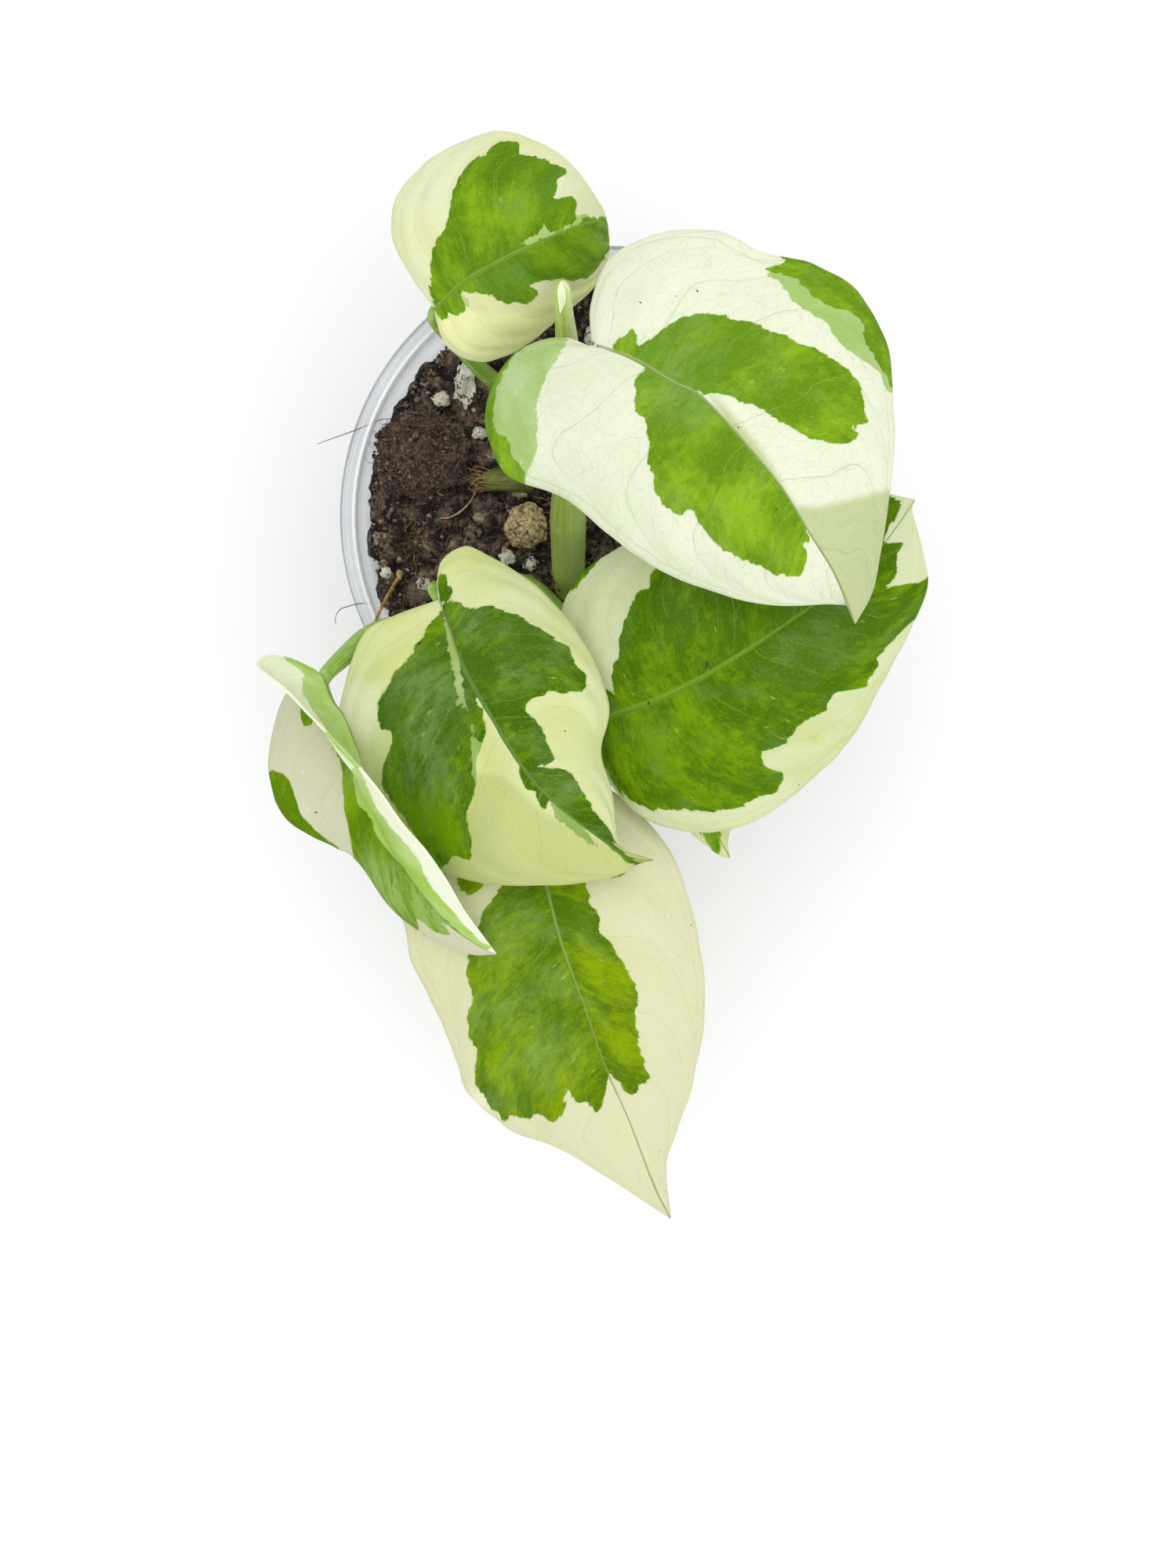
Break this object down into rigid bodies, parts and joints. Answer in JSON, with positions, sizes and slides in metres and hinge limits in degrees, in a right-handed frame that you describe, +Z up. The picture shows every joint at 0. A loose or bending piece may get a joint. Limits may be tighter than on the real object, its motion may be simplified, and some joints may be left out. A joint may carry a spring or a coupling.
{
  "type": "potted njoy pothos",
  "caption": "Young trailing house plant with cream and green heart-shaped leaves on separate stalks, rooted in potting mix in a small clear tapered nursery pot.",
  "frame": {"origin": "centre of the pot's flat bottom, on the surface that it stands on", "axes": "+Z up through the pot's axis, +Y towards the top of the picture, +X to its right; the two lowest leaves reach towards -Y"},
  "size_m": [0.1071, 0.1789, 0.1189],
  "materials": {
    "clear_pot": "clear moulded plastic with fine ring lines on the lip",
    "potting_mix": "rough dark crumbs of peat and bark",
    "peat": "matt reddish brown pressed peat",
    "baked_clay": "porous tan pebble",
    "white_grit": "matt white perlite",
    "dry_fibre": "dry straw",
    "brown_root": "dry brown root",
    "old_stem": "ageing green stem, dry at its cut end",
    "stem": "smooth green stem with fine lengthwise stripes",
    "leaf": "smooth leaf, green patches on cream, soft gloss"
  },
  "bodies": {
    "root": {"pot": "clear_pot", "soil": "potting_mix", "peat_lump": "peat", "clay_pebble": "baked_clay", "perlite_1": "white_grit", "perlite_2": "white_grit", "perlite_3": "white_grit", "perlite_4": "white_grit", "perlite_5": "white_grit", "perlite_6": "white_grit", "perlite_7": "white_grit", "perlite_8": "white_grit", "dry_straw": "dry_fibre", "root_curl": "brown_root", "old_cutting": "old_stem", "vine": "stem", "shoot": "stem", "leaf_a": "leaf", "leaf_b": "leaf", "leaf_c": "leaf", "leaf_d": "leaf", "leaf_e": "leaf", "leaf_f": "leaf", "leaf_g": "leaf"}
  },
  "joints": []
}
